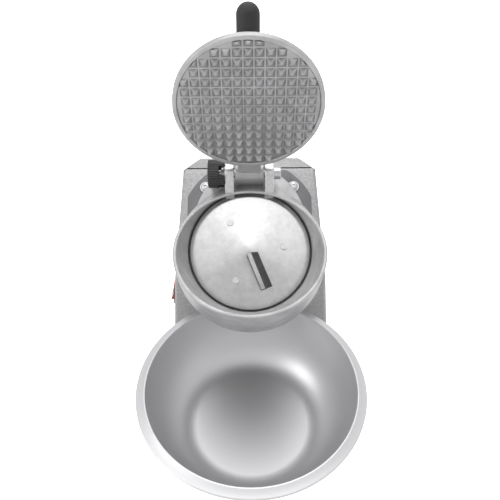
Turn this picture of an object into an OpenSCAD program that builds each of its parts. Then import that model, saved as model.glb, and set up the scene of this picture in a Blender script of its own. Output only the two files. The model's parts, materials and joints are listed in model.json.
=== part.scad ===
// Electric ice shaver ("slushie machine"): a tapered sheet-steel body carries a cast hopper
// whose studded lid presses ice onto a spinning disc; shaved ice drops into a loose bowl.
// Millimetres, +Z up. The origin is on the table under the middle of the whole footprint.

/* [Body] */
// Width of the body across its top edge
body_top_w = 160; // [152:1:200]
// Outward slope of the side and back walls, run over rise
wall_taper = 0.1; // [0.06:0.01:0.14]
// Height of the front wall's top edge above the table
front_h = 110; // [104:1:135]
// Length of the sloping deck, front edge to ridge
deck_len = 133; // [130:1:170]
// Slope of the deck from level, in degrees
deck_tilt = 35.7; // [32:0.1:38]
// Depth of the level strip behind the deck
top_depth = 27.5; // [26:0.5:45]
// How much of the width each cut rear corner takes
corner_x = 18; // [8:1:24]
// How much of the depth each cut rear corner takes
corner_y = 24; // [12:1:25]
// Thickness of the body's steel sheet
sheet_t = 1.5; // [1:0.1:2.5]
// Thickness of the base plate
base_t = 2; // [1.5:0.5:4]

/* [Feet] */
// Height of a rubber foot
foot_h = 10; // [8:1:16]
// Radius of a rubber foot
foot_r = 12; // [9:0.5:14]

/* [Hopper] */
// Distance of the drum's axis from the deck's front edge, along the deck
axis_from_edge = 24; // [22:1:30]
// Radius of the drum's bore round the disc
drum_r = 67.4; // [64:0.1:70]
// Wall between the drum's bore and the snow passage
drum_wall = 4.1; // [3:0.1:5]
// Outer radius of the mouth's rim
rim_r = 79; // [76.5:0.1:82]
// Width of the mouth's rim
rim_t = 4.2; // [3:0.1:5]
// Height of the rim's centre above the deck
rim_h = 82; // [78:1:88]
// Offset of the rim's centre from the drum's axis, towards the front
rim_off = 6; // [4:0.5:8]
// Angle between the mouth's plane and the disc's plane, in degrees
mouth_lean = 22.7; // [20:0.1:24]
// Outer radius of the shroud round the drum
shroud_r = 82; // [80:0.5:88]
// Radius of the neck that stands on the deck
neck_r = 61.6; // [58:0.1:64]
// Wall of the neck
neck_wall = 5.6; // [4:0.1:8]

/* [Disc] */
// Gap between the disc's edge and the drum's bore
disc_gap = 2.4; // [1.4:0.1:4]
// Height of the disc's edge above the deck
disc_h = 44; // [43:0.5:45]
// Rise of the disc's cone from edge to tip
disc_rise = 5; // [3:0.5:6]
// Length of the ice pusher on the disc
pusher_len = 40; // [30:1:44]
// Width of the ice pusher
pusher_w = 13; // [10:0.5:16]

/* [Lid] */
// Radius of the lid
lid_r = 73.5; // [70:0.1:74]
// Distance from the lid's hinge to its centre
hinge_off = 93.9; // [93:0.1:100]
// Height of the hinge above the mouth's plane
hinge_rise = 9.4; // [8:0.1:10]
// How far the lid's lip hangs below the hinge's axis
lid_drop = 12.4; // [11:0.1:13]
// Angle from the closed lid to the resting, open lid, in degrees
lid_open = 96; // [80:0.5:100]
// Spacing of the grip studs
stud_pitch = 10; // [8:0.5:14]
// Height of a grip stud
stud_h = 4.5; // [3:0.5:5]

/* [Bowl] */
// Outer radius of the bowl's rim
bowl_r = 119.5; // [99:0.5:135]
// Width of the bowl's sloping rim
bowl_rim_w = 9.3; // [6:0.1:14]
// Height of the bowl
bowl_h = 79; // [60:1:82]
// Radius of the bowl's flat base
bowl_base_r = 62; // [45:1:75]
// Thickness of the bowl's sheet
bowl_t = 1.2; // [0.8:0.1:2]

/* [Motor] */
// Radius of the motor's can
motor_r = 38; // [34:0.5:38]
// Length of the stator between the end bells
stator_len = 38; // [30:1:40]
// Radius of the motor's shaft
shaft_r = 7.5; // [6:0.5:8]

/* [Hidden] */
$fn = 96;
hull_fn = 48; // circles inside a hull
eps = 0.01;   // overshoot of a cut past a face
run_gap = 0.05; // radial clearance of a running fit
hole_gap = 0.3; // radial clearance of a screw in its hole
seat_gap = 0.05; // radial clearance of a piece that is glued or pushed into its seat

// --- body, worked out from the driving sizes
base_z = foot_h + base_t;
ridge_y = deck_len * cos(deck_tilt);
ridge_z = front_h + deck_len * sin(deck_tilt);
back_top_y = ridge_y + top_depth;
corner_run = sqrt(corner_x * corner_x + corner_y * corner_y);
side_lean = atan(wall_taper);
function half_w(z) = body_top_w / 2 + wall_taper * (ridge_z - z);
function back_y(z) = back_top_y + wall_taper * (ridge_z - z);
// The six corners of the body's plan at height z, on a skin `inset` inside the outside
function plan_ring(z, inset, front_y) = let(
    w = half_w(z) - inset, b = back_y(z) - inset,
    cut_start = back_y(z) - corner_y + inset * (corner_y - corner_run) / corner_x,
    cut_end = half_w(z) - corner_x + inset * (corner_x - corner_run) / corner_y)
    [[-w, front_y, z], [w, front_y, z], [w, cut_start, z],
     [cut_end, b, z], [-cut_end, b, z], [-w, cut_start, z]];

// --- bowl, in front of the body
bowl_gap = 0.6;
bowl_y = -(bowl_r + bowl_gap);
bowl_rim_drop = 4.6; // from the rim's inner crest down to its outer edge
bowl_bead = 1.6; // radius of the rolled edge

// --- rear cover, on the leaning back wall: its frame's origin is on the wall at rear_z
rear_z = (base_z + ridge_z) / 2;
cover_w = 100;
cover_h = 128;
cover_t = 1.5;
cover_lap = 10;
cover_screw = [cover_w / 2 - 5, cover_h / 2 - 5];
screw_r = 1.9;
louvre_n = 7;
louvre_pitch = 10;
louvre_w = 66;
louvre_h = 3;
gland_drop = 44; // below the cover's centre
gland_r = 7;
gland_out = 9;
cord_r = 3.6;
gland_tip_r = gland_r - 1.5;
back_reach = back_y(rear_z) + gland_out * cos(side_lean)
    + (gland_drop + gland_tip_r) * sin(side_lean);

// The whole machine is moved so that the origin is under the middle of its footprint
shift_y = -(back_reach + bowl_y - bowl_r) / 2;

// --- feet and the posts that they screw into
foot_in = foot_r + 1; // from the walls to a foot's middle
post_r = foot_in - sheet_t / 2; // so a post runs into the walls beside it
post_h = 12;
foot_spots = [
    [-(half_w(base_z) - foot_in), foot_in], [half_w(base_z) - foot_in, foot_in],
    [-(half_w(base_z) - corner_x - 2), back_y(base_z) - foot_in],
    [half_w(base_z) - corner_x - 2, back_y(base_z) - foot_in]];
foot_screw_r = 2;
foot_recess = 4;

// --- the plate between deck and hopper: its centre lies up the deck from the drum's axis
plate_t = 3;
neck_s = neck_r + 1 - axis_from_edge;
plate_r = 81.6;
plate_half_w = 73.6;
deck_edge_gap = 2;
bolt_x = 52.5;
bolt_s = 47.2;
bolt_r = 3;
bolt_head_r = 5.3;
bolt_head_h = 3.3;
bolt_socket_r = 2.3;
washer_r = 6.4;
washer_t = 1.2;
nut_r = 5.8;
nut_h = 5;
post_angles = [0, 90, 180];
post_ring_r = 30;
post_rad = 4.5;
post_screw_r = 2;
neck_screw_ring = neck_r - neck_wall / 2;
neck_screw_r = 1.6;
neck_screw_angles = [45, 135, 225, 315];

// --- hopper, in the drum's frame: x across, s up the deck, h out of the deck
disc_r = drum_r - disc_gap;
mouth_r = rim_r - rim_t;
floor_top = disc_h - 8;
floor_low = floor_top - 6;
shoulder_h = floor_top - 2;
ring_top = disc_h - 0.5;
bore_top = disc_h + 4.2;
pusher_from = 6; // from the axis to the pusher's inner end
pusher_rise = 13; // of its crest at the inner end, over the disc
pusher_low = 2.6; // and at the outer end
pusher_crest = 5; // width of its flat crest
pusher_foot = 0.6; // height left at the flank's foot
pusher_turn = 22.6; // degrees to the right of straight down the deck
boss_r = 20;
seal_r = 12;
bearing_r = 16;
bearing_h = 9;
bearing_low = floor_low - 3 - bearing_h;
passage_r = shroud_r - 5;
passage_top = disc_h + 18;
passage_from = 30; // the snow passage starts this far in front of the axis
blade_angles = [-22, 22];
blade_seat = drum_r + 2.6;
blade_t = 2.4;
blade_w = 20;
blade_h = 11;
blade_low = disc_h + 5;
slot_w = 7;
ear_t = 10;
ear_gap = 33.5;
ear_r = 12;
hinge_r = 4;

// --- lid, in the hinge's frame with the lid closed: -y is towards the front
barrel_r = 12;
barrel_w = 31;
bush_r = 6;
lid_plate_t = 5;
lip_w = 4.5;
lip_h = 3;
grip_t = 1.5;
stud_base = 8.6;
stud_row_off = 3.2;
arm_w = 26;
arm_end = hinge_off + 30;
arm_low = 1 - hinge_rise;
arm_top = 12 - hinge_rise;
handle_from = hinge_off + 14;
handle_z = 8 - hinge_rise;
handle_lean = 28;
handle_len = 76;
rod_r = 4;
grip_from = 19;
grip_r = 11;
knob_r = 15.5;
knob_t = 11;
knob_gap = 7.5;
knob_skirt_in = 11;
knob_skirt = 6.9;
bolt_cap_r = 6.5;
bolt_cap_h = 8;
washer_x = 1;
spring_wire = 1.1;
spring_turns = 4;

// --- motor, below the deck: depths measured down the axis from the deck
fan_depth = 20;
fan_t = 7;
fan_r = 24;
bell_depth = 30;
bell_t = 11;
bell_wall = 3;
rotor_gap = 0.6;
rotor_r = 21;
motor_bearing_r = 11;
motor_bearing_t = 7;
motor_shaft_r = 5;
rear_depth = bell_depth + bell_t + stator_len;
tie_ring = motor_r - 5;
tie_r = 1.8;
cap_r = 16;
cap_len = 48;

// --- switch, in the left wall: the frame's x is up the wall and its z is outwards
switch_y = 24;
switch_z = 66;
switch_h = 28;
switch_w = 21;
bezel_t = 2;
rocker_h = 22;
rocker_w = 15;
rocker_throw = 8;

// --- frames
module at_machine() translate([0, shift_y, 0]) children();
module at_deck() at_machine()
    translate([0, axis_from_edge * cos(deck_tilt), front_h + axis_from_edge * sin(deck_tilt)])
        rotate([deck_tilt, 0, 0]) children();
module at_mouth() at_deck() to_mouth() children();
module to_mouth() translate([0, -rim_off, rim_h]) rotate([-mouth_lean, 0, 0]) children();
module at_hinge() at_mouth() translate([0, hinge_off, hinge_rise]) children();
module at_lid() at_hinge() rotate([-lid_open, 0, 0]) children();
module at_rear() at_machine() translate([0, back_y(rear_z), rear_z])
    rotate([side_lean, 0, 0]) children();
module at_switch() at_machine() translate([-half_w(switch_z), switch_y, switch_z])
    rotate([0, side_lean - 90, 0]) children();

// --- shapes that repeat
module along_x(len, r) rotate([0, 90, 0]) cylinder(r = r, h = len, center = true);
module ring(outer, inner, h) difference() {
    cylinder(r = outer, h = h);
    translate([0, 0, -eps]) cylinder(r = inner, h = h + 2 * eps);
}
// A pan-head screw with its head on z = 0 and its shank below
module pan_screw(r, len, head_r, head_h) union() {
    cylinder(r = head_r, h = head_h);
    translate([0, 0, -len]) cylinder(r = r, h = len + eps);
}
module at_plate_bolts() for (sx = [-1, 1], ss = [-1, 1])
    translate([sx * bolt_x, neck_s + ss * bolt_s, 0]) children();
module at_posts() for (a = post_angles) rotate([0, 0, a]) translate([post_ring_r, 0, 0]) children();
module at_neck_screws() translate([0, neck_s, 0]) for (a = neck_screw_angles)
    rotate([0, 0, a]) translate([neck_screw_ring, 0, 0]) children();
module at_blades() for (a = blade_angles) rotate([0, 0, a]) children();
module at_disc_screws() for (a = [245, 5, 125]) rotate([0, 0, a]) translate([37, 0, 0]) children();

// The body's solid outline, on a skin `inset` inside the outside, down to z = low
module body_solid(inset, low) {
    deck_drop = inset / cos(deck_tilt);
    top_z = ridge_z - inset;
    edge_z = front_h + inset * tan(deck_tilt) - deck_drop;
    ridge_in = (top_z - front_h + deck_drop) / tan(deck_tilt);
    low_ring = plan_ring(low, inset, inset);
    edge = [[-half_w(edge_z) + inset, inset, edge_z], [half_w(edge_z) - inset, inset, edge_z]];
    top_ring = plan_ring(top_z, inset, ridge_in);
    polyhedron(points = concat(low_ring, edge, top_ring), faces = [
        [0, 1, 2, 3, 4, 5], [0, 6, 7, 1], [6, 8, 9, 7], [8, 13, 12, 11, 10, 9],
        [3, 11, 12, 4], [2, 10, 11, 3], [4, 12, 13, 5], [1, 7, 9, 10, 2], [5, 13, 8, 6, 0]]);
}

module deck_holes() {
    cylinder(r = fan_r + 2, h = 20, center = true);
    at_plate_bolts() cylinder(r = bolt_r + hole_gap, h = 20, center = true);
    at_posts() cylinder(r = post_screw_r + hole_gap, h = 20, center = true);
}

module housing() color("dimgray") difference() {
    at_machine() difference() {
        union() {
            difference() {
                body_solid(0, base_z);
                body_solid(sheet_t, base_z - 1);
            }
            intersection() {
                body_solid(sheet_t / 2, base_z);
                for (p = foot_spots) translate([p[0], p[1], base_z]) cylinder(r = post_r, h = post_h);
            }
        }
        for (p = foot_spots) translate([p[0], p[1], base_z - 1])
            cylinder(r = foot_screw_r, h = post_h - 1);
    }
    at_deck() intersection() {
        deck_holes();
        translate([0, neck_s, 0]) cube([2 * plate_half_w, deck_len * 2, 16], center = true);
    }
    at_rear() cube([cover_w - 2 * cover_lap, 12, cover_h - 2 * cover_lap], center = true);
    at_rear() for (sx = [-1, 1], sz = [-1, 1]) translate([sx * cover_screw[0], 0, sz * cover_screw[1]])
        rotate([90, 0, 0]) cylinder(r = screw_r, h = 12, center = true);
    at_switch() cube([switch_h - 4, switch_w - 4, 12], center = true);
}

module rear_cover() color("dimgray") at_rear() difference() {
    translate([-cover_w / 2, 0, -cover_h / 2]) cube([cover_w, cover_t, cover_h]);
    for (i = [0 : louvre_n - 1]) translate([0, 0, 50 - i * louvre_pitch])
        cube([louvre_w, 12, louvre_h], center = true);
    for (sx = [-1, 1], sz = [-1, 1]) translate([sx * cover_screw[0], 0, sz * cover_screw[1]])
        rotate([90, 0, 0]) cylinder(r = screw_r + hole_gap, h = 12, center = true);
    translate([0, 0, -gland_drop]) rotate([90, 0, 0])
        cylinder(r = gland_r, h = 12, center = true);
}

module rear_cover_screws() color("silver") at_rear()
    for (sx = [-1, 1], sz = [-1, 1])
        translate([sx * cover_screw[0], cover_t, sz * cover_screw[1]])
            rotate([-90, 0, 0]) pan_screw(screw_r, cover_t + 5, 3.4, 1.8);

module base_plate() color("dimgray") at_machine() difference() {
    translate([0, 0, foot_h]) linear_extrude(base_t)
        polygon([for (p = plan_ring(base_z, 0, 0)) [p[0], p[1]]]);
    for (p = foot_spots) translate([p[0], p[1], foot_h - 1])
        cylinder(r = foot_screw_r + hole_gap, h = base_t + 2);
    for (i = [-3 : 3]) translate([i * 14, 75, foot_h]) cube([4, 60, 12], center = true);
}

module foot(i) color("black") at_machine() translate([foot_spots[i][0], foot_spots[i][1], 0])
    difference() {
        union() {
            cylinder(r1 = foot_r - 1.5, r2 = foot_r, h = foot_h - 2);
            translate([0, 0, foot_h - 2 - eps]) cylinder(r = foot_r, h = 2 + eps);
        }
        translate([0, 0, -eps]) cylinder(r = 4.4, h = foot_recess + eps);
        cylinder(r = foot_screw_r + hole_gap, h = foot_h + 1);
    }
module foot_front_left() foot(0);
module foot_front_right() foot(1);
module foot_rear_left() foot(2);
module foot_rear_right() foot(3);

module foot_screws() color("silver") at_machine() for (p = foot_spots)
    translate([p[0], p[1], foot_recess]) rotate([180, 0, 0])
        pan_screw(foot_screw_r, foot_h - foot_recess + base_t + 8, 4, 2.4);

module mounting_plate() color("darkslategray") at_deck() difference() {
    intersection() {
        translate([0, neck_s, 0]) cylinder(r = plate_r, h = plate_t);
        translate([-plate_half_w, deck_edge_gap - axis_from_edge, 0])
            cube([2 * plate_half_w, deck_len - 2 * deck_edge_gap, plate_t]);
    }
    deck_holes();
    at_neck_screws() cylinder(r = neck_screw_r + hole_gap, h = 20, center = true);
    at_neck_screws() translate([0, 0, -eps]) cylinder(r = 3.2 + hole_gap, h = 1.6 + eps);
}

module plate_bolts() color("silver") at_deck() at_plate_bolts()
    translate([0, 0, plate_t + washer_t]) difference() {
        pan_screw(bolt_r, plate_t + washer_t + sheet_t + nut_h + 2, bolt_head_r, bolt_head_h);
        translate([0, 0, bolt_head_h - 2]) cylinder(r = bolt_socket_r, h = 4, $fn = 6);
    }

module plate_washers() color("silver") at_deck() at_plate_bolts()
    translate([0, 0, plate_t]) ring(washer_r, bolt_r + hole_gap, washer_t);

module plate_nuts() color("silver") at_deck() at_plate_bolts()
    translate([0, 0, -sheet_t - nut_h]) difference() {
        cylinder(r = nut_r, h = nut_h, $fn = 6);
        translate([0, 0, -1]) cylinder(r = bolt_r, h = nut_h + 2);
    }

// Outside of the casting: shroud, rim, neck and the two hinge ears
module hopper_outside() {
    hull() {
        translate([0, -rim_off, floor_low])
            cylinder(r = shroud_r, h = ring_top - floor_low, $fn = hull_fn);
        to_mouth() translate([0, 0, -4]) cylinder(r = rim_r, h = 4, $fn = hull_fn);
    }
    translate([0, neck_s, plate_t]) cylinder(r = neck_r, h = shoulder_h - plate_t);
    for (side = [-1, 1]) hull() {
        to_mouth() translate([side * (ear_gap + ear_t) / 2, hinge_off, hinge_rise])
            rotate([0, 90, 0]) cylinder(r = ear_r, h = ear_t, center = true, $fn = hull_fn);
        translate([side * (ear_gap + ear_t) / 2 - ear_t / 2, shroud_r - rim_off - 16, shoulder_h - 4])
            cube([ear_t, 34, 3.5]);
        to_mouth() translate([side * (ear_gap + ear_t) / 2 - ear_t / 2, mouth_r - 1.2, -10])
            cube([ear_t, 1, 8.5]);
    }
}

// Room inside the casting: the drum's bore, and the funnel from it up to the mouth
module hopper_inside() {
    translate([0, 0, floor_top]) cylinder(r = drum_r, h = bore_top - floor_top);
    hull() {
        translate([0, 0, bore_top - 2]) cylinder(r = drum_r - 0.2, h = 2, $fn = hull_fn);
        to_mouth() translate([0, 0, -1]) cylinder(r = mouth_r, h = 3, $fn = hull_fn);
    }
}

// The front of the casting below passage_top, out to a radius
module front_part(r, back, low) intersection() {
    translate([-100, -200 - passage_from, low]) cube([200, 200, passage_top - low]);
    translate([0, back, low]) cylinder(r = r, h = passage_top - low);
}

module hopper() color("silver") at_deck() difference() {
    hopper_outside();
    hopper_inside();
    // the snow passage, open below, with the knife wall in it
    front_part(passage_r, -rim_off, floor_low - 1);
    // hollow of the neck, round the bearing's boss
    difference() {
        translate([0, neck_s, 0]) cylinder(r = neck_r - neck_wall, h = floor_low);
        translate([0, 0, bearing_low - 1]) cylinder(r = boss_r, h = 40);
    }
    translate([0, 0, bearing_low - 2]) cylinder(r = bearing_r, h = bearing_h + 2);
    cylinder(r = seal_r, h = floor_top + 1);
    at_neck_screws() cylinder(r = neck_screw_r, h = 14);
    // hinge bolt's bore through both ears
    to_mouth() translate([0, hinge_off, hinge_rise]) along_x(ear_gap + 2 * ear_t + 2, hinge_r + run_gap);
    // room for the lid's barrel between the ears
    to_mouth() translate([0, hinge_off, hinge_rise]) along_x(ear_gap, barrel_r + 1);
}

// The drum's front wall, between the disc and the snow passage, with the seats of the
// blades and the slots that the shaved ice leaves by
module knife_wall() color("silver") at_deck() difference() {
    front_part(drum_r + drum_wall, 0, floor_low);
    hopper_inside();
    at_blades() {
        translate([-blade_w / 2 - 0.3, -blade_seat - 8, blade_low - 0.2])
            cube([blade_w + 0.6, 8, blade_h + 0.4]);
        translate([blade_w / 2 - slot_w, -blade_seat - 1, blade_low + 0.5])
            cube([slot_w, 8, blade_h - 1]);
        for (dx = [-6, 0]) translate([dx, -blade_seat + 2, blade_low + blade_h / 2])
            rotate([90, 0, 0]) cylinder(r = 1.2, h = 4, $fn = 24);
    }
}

module neck_screws() color("silver") at_deck() at_neck_screws() {
    cylinder(r = 3.2, h = 1.6);
    cylinder(r = neck_screw_r, h = 13);
}

module drum_bearing() color("silver") at_deck() translate([0, 0, bearing_low])
    ring(bearing_r, shaft_r + run_gap, bearing_h);

module shaft_seal() color("black") at_deck() translate([0, 0, floor_low])
    ring(seal_r, shaft_r + run_gap, floor_top - floor_low);

module blade(i) color("silver") at_deck() rotate([0, 0, blade_angles[i]])
    translate([-blade_w / 2, -blade_seat - blade_t, blade_low]) difference() {
        linear_extrude(blade_h) polygon([[0, 0], [blade_w - slot_w, 0],
            [blade_w - slot_w + 3, blade_t], [0, blade_t]]);
        for (dx = [-6, 0]) translate([dx + blade_w / 2, blade_t + 1, blade_h / 2])
            rotate([90, 0, 0]) cylinder(r = 1.5, h = blade_t + 2, $fn = 24);
    }
module blade_left() blade(0);
module blade_right() blade(1);

module blade_screws() color("silver") at_deck() at_blades() for (dx = [-6, 0])
    translate([dx, -blade_seat - blade_t, blade_low + blade_h / 2])
        rotate([90, 0, 0]) pan_screw(1.2, blade_t + 1.8, 2.3, 1.4, $fn = 24);

// --- the spinning group
hub_low = floor_top + 1.5;
module motor_shaft() color("silver") at_deck() union() {
    translate([0, 0, -fan_depth]) cylinder(r = shaft_r, h = fan_depth + disc_h - 1);
    translate([0, 0, -rear_depth - bell_t + bell_wall])
        cylinder(r = motor_shaft_r, h = rear_depth + bell_t - bell_wall - fan_depth + eps);
}

module disc_hub() color("silver") at_deck() translate([0, 0, hub_low]) difference() {
    cylinder(r = 42, h = disc_h - hub_low);
    translate([0, 0, -eps]) cylinder(r = shaft_r, h = disc_h);
    at_disc_screws() cylinder(r = 1.9, h = 20);
}

module cutter_disc() color("silver") at_deck() translate([0, 0, disc_h]) difference() {
    union() {
        cylinder(r = disc_r, h = 1.5);
        translate([0, 0, 1.5 - eps]) cylinder(r1 = disc_r, r2 = 4, h = disc_rise);
    }
    at_disc_screws() cylinder(r = 2.2, h = 20, center = true);
    at_disc_screws() translate([0, 0, 3]) cylinder(r = 4, h = 20);
}

function disc_top(r) = disc_h + 1.5 + disc_rise * (disc_r - r) / (disc_r - 4);
// One end of the pusher, r from the axis: a flat crest beside a flank that falls away
module pusher_end(r, rise) translate([r, 0, 0]) rotate([90, 0, 90]) linear_extrude(eps)
    polygon([[-pusher_w / 2, disc_h + 2], [pusher_w / 2, disc_h + 2],
        [pusher_w / 2, disc_top(r) + pusher_foot], [pusher_crest - pusher_w / 2, disc_top(r) + rise],
        [-pusher_w / 2, disc_top(r) + rise]]);
module ice_pusher() color("silver") at_deck() rotate([0, 0, pusher_turn - 90])
    difference() {
        hull() {
            pusher_end(pusher_from, pusher_rise);
            pusher_end(pusher_from + pusher_len, pusher_low);
        }
        translate([0, 0, disc_h + 1.5 + seat_gap]) cylinder(r1 = disc_r, r2 = 4, h = disc_rise);
    }

module disc_screws() color("silver") at_deck() at_disc_screws() {
    translate([0, 0, disc_h + 3]) cylinder(r = 3.6, h = 1.4);
    translate([0, 0, disc_h - 5]) cylinder(r = 1.9, h = 8 + eps);
}

// --- lid group
module lid() color("silver") at_lid() difference() {
    union() {
        translate([0, -hinge_off, -lid_drop]) cylinder(r = lid_r, h = lip_h + lid_plate_t);
        along_x(barrel_w, barrel_r);
        translate([0, 0, arm_low]) linear_extrude(arm_top - arm_low)
            polygon([[-arm_w / 2, 0], [arm_w / 2, 0], [9, -arm_end], [-9, -arm_end]]);
    }
    translate([0, -hinge_off, -lid_drop - 1]) cylinder(r = lid_r - lip_w, h = lip_h + 1);
    along_x(barrel_w + 2, bush_r);
    at_handle() cylinder(r = rod_r + seat_gap, h = 60, center = true);
}

// The handle's rod leaves the arm here, leaning away from the lid
module at_handle() translate([0, -handle_from, handle_z]) rotate([90 - handle_lean, 0, 0]) children();

plate_in_r = lid_r - lip_w - seat_gap;
stud_n = ceil(plate_in_r / stud_pitch) + 1;
stud_spots = [for (i = [-stud_n : stud_n], j = [-stud_n : stud_n])
    let(p = [i * stud_pitch, j * stud_pitch - stud_row_off])
    if (norm(p) < plate_in_r) p];
// The studs run out to the lip, which trims the outer ones
module grip_plate() color("silver") at_lid()
    translate([0, -hinge_off, -lid_drop + lip_h]) rotate([180, 0, 0]) intersection() {
        union() {
            cylinder(r = plate_in_r + 1, h = grip_t);
            for (p = stud_spots) translate([p[0], p[1], grip_t - eps]) rotate([0, 0, 45])
                cylinder(r1 = stud_base / sqrt(2), r2 = 0.4, h = stud_h, $fn = 4);
        }
        cylinder(r = plate_in_r, h = grip_t + stud_h + 1);
    }

module handle_rod() color("silver") at_lid() at_handle() {
    translate([0, 0, -3]) cylinder(r = rod_r, h = handle_len - 5);
}

module handle_grip() color("black") at_lid() at_handle() rotate_extrude() polygon(concat(
    [[rod_r + seat_gap, handle_len - 8], [rod_r + seat_gap, grip_from]],
    [[grip_r - 2.5, grip_from], [grip_r - 1.5, grip_from + 3], [grip_r, grip_from + 26],
     [grip_r, handle_len - grip_r]],
    [for (a = [15 : 15 : 75]) [grip_r * cos(a), handle_len - grip_r + grip_r * sin(a)]],
    [[0, handle_len], [0, handle_len - 8]]));

module lid_bushes() color("goldenrod") at_lid() for (side = [-1, 1])
    translate([side * (barrel_w / 2 - 5) - 5, 0, 0]) rotate([0, 90, 0])
        ring(bush_r, hinge_r + run_gap, 10);

ear_out = ear_gap / 2 + ear_t;
module hinge_bolt() color("silver") at_hinge() difference() {
    union() {
        translate([ear_out, 0, 0]) rotate([0, 90, 0]) cylinder(r = bolt_cap_r, h = bolt_cap_h);
        translate([-ear_out - knob_gap - knob_t + 3, 0, 0]) rotate([0, 90, 0])
            cylinder(r = hinge_r, h = 2 * ear_out + knob_gap + knob_t - 3 + eps);
    }
    translate([ear_out + 3.5, 0, 0]) rotate([0, 90, 0]) cylinder(r = 3.4, h = 9, $fn = 6);
}

// A knob with a skirt towards the ear, whose four windows show the spring
module hinge_knob() color("black") at_hinge()
    translate([-ear_out - knob_gap, 0, 0]) rotate([0, -90, 0]) difference() {
        translate([0, 0, -knob_skirt]) cylinder(r = knob_r, h = knob_t + knob_skirt);
        translate([0, 0, -knob_skirt - 1]) cylinder(r = knob_skirt_in, h = knob_skirt + 1);
        for (i = [0 : 3]) rotate([0, 0, i * 90 - 32])
            translate([7, -6.5, -knob_skirt - 1]) cube([knob_r, 13, knob_skirt]);
        translate([0, 0, -1]) cylinder(r = hinge_r + run_gap, h = knob_t - 1.5);
    }

module hinge_spring() color("silver") at_hinge()
    translate([-ear_out - washer_x - spring_wire, 0, 0]) rotate([0, -90, 0])
        for (i = [0 : spring_turns - 1]) translate([0, 0, i * (knob_gap - washer_x - 2 * spring_wire)
            / (spring_turns - 0.8)])
            rotate_extrude($fn = 48) translate([hinge_r + 2, 0]) circle(r = spring_wire * 0.8, $fn = 16);

module hinge_washers() color("silver") at_hinge() {
    translate([-ear_out - washer_x, 0, 0]) rotate([0, 90, 0]) ring(8, hinge_r + run_gap, washer_x);
}

// --- motor group, below the deck
module motor_posts() color("silver") at_deck() at_posts()
    translate([0, 0, -bell_depth]) ring(post_rad, post_screw_r, bell_depth - sheet_t);

module post_screws() color("silver") at_deck() at_posts()
    translate([0, 0, plate_t]) pan_screw(post_screw_r, plate_t + sheet_t + 12, 4, 2.6);

// A cup-shaped end bell: its closed end at z = 0, its open end up
module end_bell() difference() {
    cylinder(r = motor_r, h = bell_t);
    translate([0, 0, bell_wall]) cylinder(r = motor_r - 9, h = bell_t);
    translate([0, 0, -1]) cylinder(r = motor_bearing_r - 3, h = bell_t);
    for (a = [22.5 : 45 : 337.5]) rotate([0, 0, a]) translate([19, 0, -1])
        cylinder(r = 4, h = 10, $fn = 32);
    at_ties() translate([0, 0, -1]) cylinder(r = tie_r + 0.2, h = bell_t + 2, $fn = 24);
}
module at_ties() for (a = [45 : 90 : 315]) rotate([0, 0, a]) translate([tie_ring, 0, 0]) children();

module bearing_seat() translate([0, 0, bell_wall - eps])
    ring(motor_bearing_r + 2.5, motor_bearing_r, motor_bearing_t - 1);

module motor_front_bell() color("silver") at_deck() translate([0, 0, -bell_depth])
    rotate([180, 0, 0]) { end_bell(); bearing_seat(); }

module motor_rear_bell() color("silver") at_deck() translate([0, 0, -rear_depth - bell_t])
    { end_bell(); bearing_seat(); }

module motor_stator() color("slategray") at_deck() translate([0, 0, -rear_depth]) difference() {
    cylinder(r = motor_r, h = stator_len);
    translate([0, 0, -1]) cylinder(r = rotor_r + rotor_gap, h = stator_len + 2);
    at_ties() translate([0, 0, -1]) cylinder(r = tie_r + 0.2, h = stator_len + 2, $fn = 24);
}

module motor_tie_bolts() color("silver") at_deck() at_ties()
    translate([0, 0, -rear_depth - bell_t]) rotate([180, 0, 0])
        pan_screw(tie_r, stator_len + 2 * bell_t - 1, 3.2, 2, $fn = 24);

module front_bearing() color("silver") at_deck()
    translate([0, 0, -bell_depth - bell_wall - motor_bearing_t + 1])
        ring(motor_bearing_r, motor_shaft_r + run_gap, motor_bearing_t - 1);

module rear_bearing() color("silver") at_deck() translate([0, 0, -rear_depth - bell_t + bell_wall])
    ring(motor_bearing_r, motor_shaft_r + run_gap, motor_bearing_t - 1);

module rotor_core() color("slategray") at_deck() translate([0, 0, -rear_depth + 1])
    ring(rotor_r, motor_shaft_r, stator_len - 2);

module cooling_fan() color("black") at_deck() translate([0, 0, -fan_depth - 1])
    difference() {
        union() {
            cylinder(r = fan_r, h = 1.5);
            cylinder(r = shaft_r + 3, h = fan_t);
            for (a = [0 : 45 : 315]) rotate([0, 0, a]) translate([shaft_r + 2, -0.8, 0])
                cube([fan_r - shaft_r - 3, 1.6, fan_t]);
        }
        translate([0, 0, 1]) cylinder(r = shaft_r, h = fan_t);
        translate([0, 0, -1]) cylinder(r = motor_shaft_r, h = fan_t);
    }

cap_spot = [62, 74, base_z];
module capacitor() color("white") at_machine() translate(cap_spot) {
    cylinder(r = cap_r, h = cap_len);
    for (dx = [-5, 5]) translate([dx, 0, cap_len - eps]) translate([-0.4, -3, 0]) cube([0.8, 6, 8]);
}

module capacitor_strap() color("silver") at_machine() translate([cap_spot[0], cap_spot[1], cap_spot[2]]) {
    translate([0, 0, 20]) ring(cap_r + 1.2, cap_r + seat_gap, 10);
    difference() {
        translate([cap_r - 2, -5, 0]) cube([4.5, 10, 30]);
        translate([0, 0, -1]) cylinder(r = cap_r + seat_gap, h = 40);
    }
}

module terminal_block() color("ivory") at_machine() translate([-62, 98, base_z]) difference() {
    translate([-9, -22, 0]) cube([18, 44, 14]);
    for (i = [-2 : 2]) translate([0, i * 8, 7]) cylinder(r = 2, h = 10, $fn = 24);
}

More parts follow.
